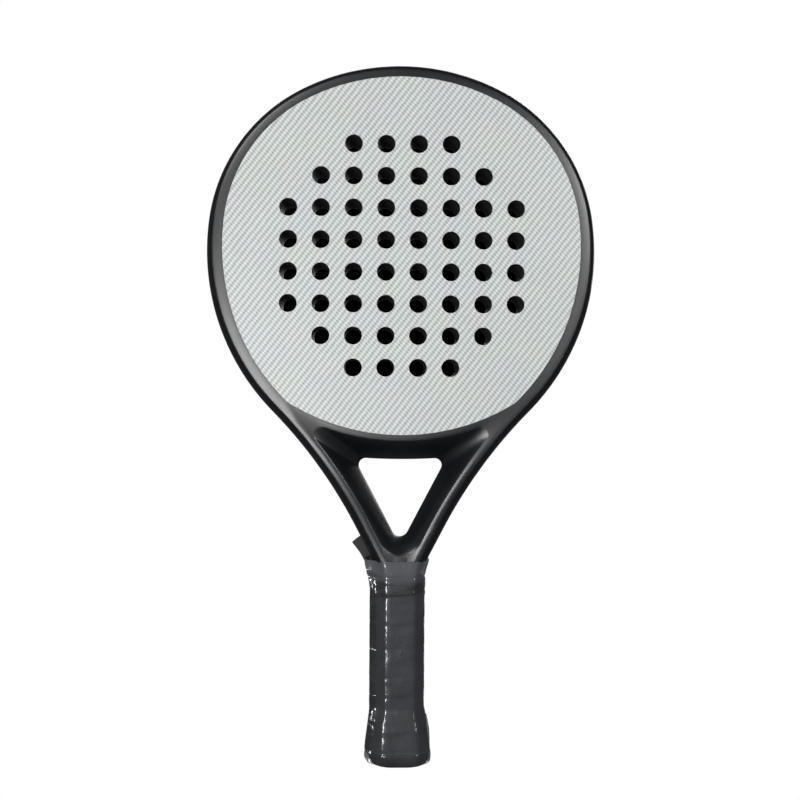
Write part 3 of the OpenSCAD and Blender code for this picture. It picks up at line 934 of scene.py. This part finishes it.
# The film's stations: height in mm, then width and thickness on a scale where the foot is 37 by 33
FILM_STATIONS = ((0.8, 37, 33), (2.4, 39.2, 35.4), (4.5, 39.9, 36.2), (8, 40.1, 36.4), (9, 39.6, 35.9),
                 (24, 38.0, 34.6), (27.5, 36.6, 33.2), (28.5, 35.6, 32.2), (35, 32.2, 29.2),
                 (37, 31.7, 28.7), (110, 31.7, 28.7), (111.2, 32.4, 29.4), (121, 32.4, 29.4),
                 (123, 32.4, 29.2), (126, 33.2, 29.6), (133, 37.2, 30.0))
# Folds that run round the film: height, slope across the front and how far each stands up, in mm
FILM_FOLDS = ((122.3, 0.03, 0.45), (116, -0.12, 0.3), (105, 0.1, 0.12), (91, -0.08, 0.15),
              (76, 0.05, 0.12), (58, 0.06, 0.12), (44, -0.05, 0.15), (29.5, 0, 0.4),
              (26, 0.02, 0.2), (10, 0.03, 0.3))
STRAP_SPREAD = 0.9
FOLD_WIDTH, RIPPLE, CREASE = 0.9, 0.22 * MM, 0.16 * MM


def build_film():
    """The film's sleeve: over the butt, along the wrap and flared onto the arms, then wrinkled."""
    bm = bmesh.new()
    ring = rounded_ring(bm, 38 * MM, 34 * MM, 7.6 * MM, 0.8 * MM, 1.5 * MM)
    loft(bm, ring, [(z * MM, w, t) for z, w, t in FILM_STATIONS], 0.9 * MM)
    for vert in bm.verts:
        z = vert.co.z / MM
        out = ease(z, 8, 30, 22.9, 18.9) if z < 100 else ease(z, 112, 133, 18.9, 23.4)
        out = ease(z, 0.5, 5, 19.5, out)
        vert.co += strap_swell(vert, out * MM, STRAP_SPREAD)
    bm.normal_update()
    for vert in bm.verts:
        out = Vector((vert.normal.x, vert.normal.y, 0))
        z = vert.co.z
        ripple = noise.noise(Vector((vert.co.x * 60, vert.co.y * 60, z * 110)))
        crease = noise.noise(Vector((vert.co.x * 30 + 3, vert.co.y * 30, (z + 0.3 * vert.co.x) * 420)))
        vert.co += out * (RIPPLE * ripple + CREASE * max(0.0, crease))
        for height, slant, lift in FILM_FOLDS:
            off = (z / MM - height - slant * vert.co.x / MM) / FOLD_WIDTH
            vert.co += out * lift * MM * math.exp(-off * off)
    bmesh.ops.recalc_face_normals(bm, faces=bm.faces)
    return bm


make_piece("shrink_film_skin", build_film(), film_skin, nodes=("shrink_film",))


TAPE_FROM, TAPE_TO, TAPE_MIDDLE, TAPE_WALL = 111 * MM, 121.5 * MM, 116 * MM, 0.25 * MM


def build_tape():
    """The tape over the wrap's top edge, wound a little askew."""
    bm = bmesh.new()
    ring = rounded_ring(bm, 31.5 * MM, 28.5 * MM, 6.2 * MM, TAPE_FROM, 1.5 * MM)
    loft(bm, ring, [(TAPE_FROM, 1, 1), (TAPE_TO, 1, 1)], 1 * MM)
    for vert in bm.verts:
        askew = 1 if vert.co.z < TAPE_MIDDLE else 0.4
        vert.co.z += 2.5 * MM * (vert.co.x / (31 * MM)) * askew - 0.5 * MM
    bmesh.ops.recalc_face_normals(bm, faces=bm.faces)
    return bm


tape_piece = make_piece("finishing_tape_band", build_tape(), black_tape, nodes=("finishing_tape",))
tape_thickness = tape_piece.modifiers.new("thickness", "SOLIDIFY")
tape_thickness.thickness = TAPE_WALL
tape_thickness.offset = -1


# ---- The wrist strap ----

# The webbing's middle line, in mm: from the staples in the foot, round the butt's edge, up the rear left
# facet under the film, and out above it from the point FREE_FROM on
STRAP_ROUTE = ((0, 0, 9), (0, 0, 6), (-0.4, 0.4, 2.8), (-2.5, 2.5, 1.6), (-8, 8, 1.6), (-13, 13, 1.6),
               (-15.2, 15.2, 2.4), (-16, 16, 5), (-16, 16, 9), (-14.6, 14.6, 20), (-13.2, 13.2, 32),
               (-13, 13, 45), (-13, 13, 70), (-13, 13, 100), (-13.2, 13.2, 116), (-14.2, 14.4, 125),
               (-16, 16, 132), (-19.4, 17.2, 138.5), (-25.5, 17.6, 146.4))
FREE_FROM = 14
FLAT_ACROSS, END_ACROSS = Vector((0.707, 0.707, 0)), Vector((0.80, 0.06, 0.60))
STRAP_SPANS = 8
EDGE_CREASE = 0.9


def strap_section():
    """The webbing's section, flat with a small bulge between its edges."""
    section = []
    for side in (-1, 1):
        for i in range(STRAP_SPANS + 1):
            k = (i / STRAP_SPANS - 0.5) * side * -1
            bulge = 1 - 0.25 * (2 * k) ** 4
            section.append((k * STRAP_WIDTH, side * STRAP_THICKNESS / 2 * bulge))
    return section


def strap_rings(bm, section):
    """The section at each point of the route, and the length of webbing up to there."""
    points = [Vector(p) * MM for p in STRAP_ROUTE]
    rings, lengths = [], []
    travelled = 0
    for i, point in enumerate(points):
        along = (points[min(i + 1, len(points) - 1)] - points[max(i - 1, 0)]).normalized()
        bend = max(0, i - FREE_FROM) / (len(points) - 1 - FREE_FROM)
        across = ((1 - bend) * FLAT_ACROSS + bend * END_ACROSS).normalized()
        outward = along.cross(across).normalized()
        if i:
            travelled += (point - points[i - 1]).length
        lengths.append(travelled)
        rings.append(ring_of(bm, [point + across * a + outward * b for a, b in section]))
    return rings, lengths


def build_strap():
    """Webbing folded back on itself, swept along its route, with its edges and ends kept crisp."""
    bm = bmesh.new()
    uv = bm.loops.layers.uv.new("webbing")
    section = strap_section()
    rings, lengths = strap_rings(bm, section)
    for low, high in zip(rings, rings[1:]):
        bmesh.ops.bridge_loops(bm, edges=only_edges(low) + only_edges(high))
    for end in (rings[0], rings[-1]):
        bmesh.ops.contextual_create(bm, geom=only_edges(end))
    bmesh.ops.recalc_face_normals(bm, faces=bm.faces)
    place = {}
    for ring, length in zip(rings, lengths):
        for vert, (across, _) in zip(only_verts(ring), section):
            place[vert] = (across, length)
    for face in bm.faces:
        for loop in face.loops:
            loop[uv].uv = place[loop.vert]
    crease = bm.edges.layers.float.new("crease_edge")
    ends = {v for end in (rings[0], rings[-1]) for v in only_verts(end)}
    edge_places = (0, STRAP_SPANS)
    sides = {v for ring in rings for i, v in enumerate(only_verts(ring))
             if i % (STRAP_SPANS + 1) in edge_places}
    for edge in bm.edges:
        if all(v in ends for v in edge.verts) or all(v in sides for v in edge.verts):
            edge[crease] = EDGE_CREASE
    sharpen(bm, 60)
    return bm


strap_piece = make_piece("wrist_strap_webbing", build_strap(), strap_cloth, nodes=("wrist_strap",))
strap_rounding = strap_piece.modifiers.new("bend", "SUBSURF")
strap_rounding.boundary_smooth = "PRESERVE_CORNERS"
strap_rounding.levels = 2
strap_rounding.render_levels = 2


# ---- Finishes of the CAD nodes whose shape is kept ----

for node_name, material in (("front_face", glass_cloth), ("rear_face", glass_cloth), ("core", core_foam),
                            ("bridge_foam", core_foam), ("handle_pallet", pallet_foam),
                            ("butt_staples", staple_wire), ("strap_stop", strap_cloth)):
    paint(node_name, material)


# ---- Stage: a white floor and surroundings, soft lights, and a dark card of painted shade behind the drilled holes ----

FLOOR_GAP = 0.4 * MM
# Size and place of the dark card, which paints the shade seen through the drilled holes
SHADE_CARD_R, SHADE_CARD_GAP, SHADE_CARD_Z = 95 * MM, 1 * MM, 328 * MM


def even_white():
    """The floor's plain white, which takes no shadow."""
    material, tree = start_material("pale_floor")

    output = tree.nodes.new("ShaderNodeOutputMaterial")
    output.label = "Floor of the stage"
    output.location = (300, 0)
    glow = tree.nodes.new("ShaderNodeEmission")
    glow.label = "Even tone"
    glow.location = (0, 0)

    glow.inputs["Color"].default_value = (1, 1, 1, 1)

    tree.links.new(glow.outputs["Emission"], output.inputs["Surface"])
    return material


def one_sided_painted_shade():
    """Painted shade: dark in front and see-through behind."""
    material, tree = start_material("painted_shade_card")

    output = tree.nodes.new("ShaderNodeOutputMaterial")
    output.label = "Painted shade behind the holes"
    output.location = (600, 0)
    dark = tree.nodes.new("ShaderNodeBsdfDiffuse")
    dark.label = "Painted shade in front"
    dark.location = (0, 100)
    clear = tree.nodes.new("ShaderNodeBsdfTransparent")
    clear.label = "Clear back"
    clear.location = (0, -100)
    side = tree.nodes.new("ShaderNodeNewGeometry")
    side.label = "Which side"
    side.location = (0, 350)
    mix = tree.nodes.new("ShaderNodeMixShader")
    mix.label = "Front or back"
    mix.location = (300, 0)

    sides_frame = tree.nodes.new("NodeFrame")
    sides_frame.label = "Two sides"
    for node in (dark, clear, side, mix):
        node.parent = sides_frame

    # The near black of the card is painted shade, the shade that the holes show from in front
    dark.inputs["Color"].default_value = (0.002, 0.002, 0.002, 1)

    tree.links.new(side.outputs["Backfacing"], mix.inputs["Fac"])
    tree.links.new(dark.outputs["BSDF"], mix.inputs[1])
    tree.links.new(clear.outputs["BSDF"], mix.inputs[2])
    tree.links.new(mix.outputs["Shader"], output.inputs["Surface"])
    return material


def stage_piece(name, bm, material):
    """Turns a bmesh into a piece of the stage that the camera sees and that lights nothing."""
    mesh = bpy.data.meshes.new(name)
    bm.to_mesh(mesh)
    bm.free()
    mesh.materials.append(material)
    piece = bpy.data.objects.new(name, mesh)
    bpy.context.collection.objects.link(piece)
    piece.visible_diffuse = False
    piece.visible_glossy = False
    piece.visible_shadow = False
    return piece


def add_floor():
    bm = bmesh.new()
    bmesh.ops.create_grid(bm, x_segments=1, y_segments=1, size=6)
    floor = stage_piece("floor", bm, even_white())
    floor.location.z = -FLOOR_GAP
    floor.visible_transmission = False


def add_painted_shade_card():
    """A dark card just behind the head, painted shade seen through the drilled holes from in front. Its
    back is see-through, so that it hides nothing from behind."""
    bm = bmesh.new()
    bmesh.ops.create_circle(bm, cap_ends=True, segments=48, radius=SHADE_CARD_R)
    upright = Matrix.Rotation(math.radians(90), 3, "X")
    bmesh.ops.rotate(bm, verts=bm.verts, cent=(0, 0, 0), matrix=upright)
    bmesh.ops.translate(bm, verts=bm.verts, vec=(0, FACE_HALF + SHADE_CARD_GAP, SHADE_CARD_Z))
    stage_piece("painted_shade_card", bm, one_sided_painted_shade())


def add_light(name, place, target, size, watts):
    """A soft panel that faces a point of the racket."""
    data = bpy.data.lights.new(name, "AREA")
    data.shape = "RECTANGLE"
    data.size, data.size_y = size
    data.energy = watts
    light = bpy.data.objects.new(name, data)
    light.location = place
    light.rotation_euler = (Vector(target) - Vector(place)).to_track_quat("-Z", "Y").to_euler()
    bpy.context.collection.objects.link(light)


def add_world():
    world = bpy.data.worlds.new("surroundings")
    bpy.context.scene.world = world
    world.use_nodes = True
    tree = world.node_tree
    tree.nodes.clear()

    output = tree.nodes.new("ShaderNodeOutputWorld")
    output.label = "Surroundings"
    output.location = (600, 0)
    seen = tree.nodes.new("ShaderNodeBackground")
    seen.label = "White backdrop"
    seen.location = (0, -150)
    room = tree.nodes.new("ShaderNodeBackground")
    room.label = "Light of the room"
    room.location = (0, 150)
    path = tree.nodes.new("ShaderNodeLightPath")
    path.label = "Seen or lit by"
    path.location = (0, 500)
    mix = tree.nodes.new("ShaderNodeMixShader")
    mix.label = "Backdrop or room"
    mix.location = (300, 0)

    seen.inputs["Color"].default_value = (1, 1, 1, 1)
    room.inputs["Color"].default_value = (0.95, 0.97, 1, 1)
    room.inputs["Strength"].default_value = 0.06

    tree.links.new(path.outputs["Is Camera Ray"], mix.inputs["Fac"])
    tree.links.new(room.outputs["Background"], mix.inputs[1])
    tree.links.new(seen.outputs["Background"], mix.inputs[2])
    tree.links.new(mix.outputs["Shader"], output.inputs["Surface"])


add_floor()
# The dark card paints the shade seen through the drilled holes
add_painted_shade_card()
add_world()
HEAD, THROAT, GRIP = (0, 0, 0.3), (0, 0, 0.2), (0, 0, 0.1)
add_light("front_left_low", (-0.42, -1.3, 0.08), (0, 0, 0.25), (0.4, 0.5), 13)
add_light("front_left_high", (-0.8, -1.2, 1.2), HEAD, (0.8, 0.5), 14)
add_light("front_right", (0.55, -1.5, 0.5), THROAT, (0.12, 0.9), 3.5)
add_light("glints", (0.75, -1.2, 0.7), GRIP, (0.12, 0.25), 6)
add_light("rear_room", (0.5, 1.6, 0.9), HEAD, (1.2, 1.0), 16)

scene = bpy.context.scene
scene.view_settings.view_transform = "Standard"
scene.view_settings.look = "None"
